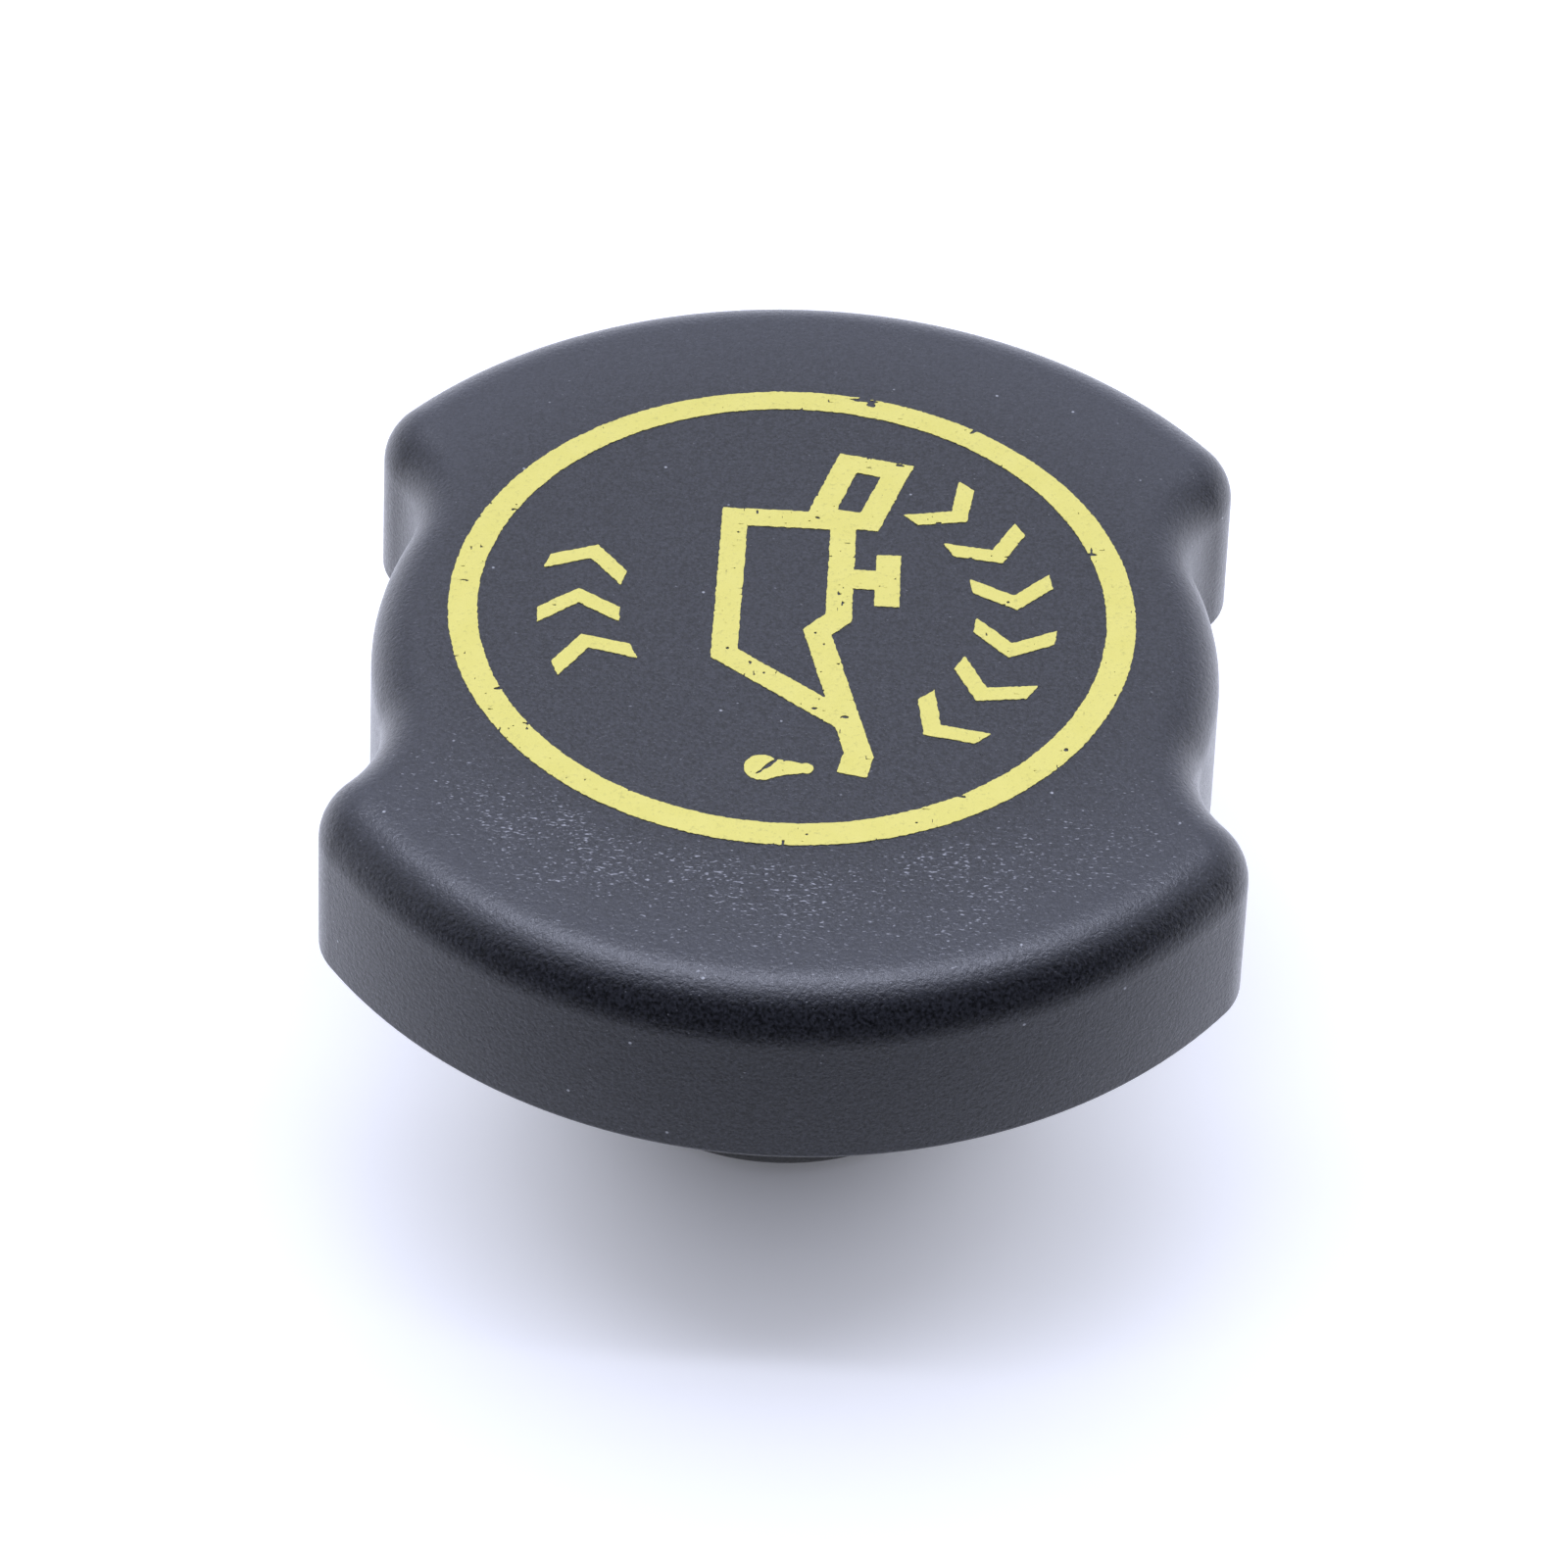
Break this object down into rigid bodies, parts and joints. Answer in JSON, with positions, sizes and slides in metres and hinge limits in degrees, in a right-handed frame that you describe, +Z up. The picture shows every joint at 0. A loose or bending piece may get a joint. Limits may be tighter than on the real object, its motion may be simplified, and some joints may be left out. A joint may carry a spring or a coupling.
{
  "type": "oil filler cap",
  "caption": "Bayonet oil filler cap with a flat, rounded head, two finger wings, a hollow stem with ramped lugs, a sealing ring and a printed oil can sign.",
  "frame": {"origin": "centre of the stem's foot, on the plane that the part stands on", "axes": "+Z up the stem towards the flat printed top, +Y along the head through both wings, +X across the head towards the long row of arrows"},
  "size_m": [0.0618, 0.075, 0.0394],
  "materials": {
    "black_plastic": "charcoal glass-filled nylon with a fine spark-eroded texture",
    "black_rubber": "smooth black nitrile rubber",
    "yellow_print": "pale yellow pad print, slightly chipped"
  },
  "bodies": {
    "root": {"cap_body": "black_plastic", "sealing_ring": "black_rubber", "printed_ring": "yellow_print", "printed_oil_can": "yellow_print", "printed_arrows": "yellow_print"}
  },
  "joints": []
}
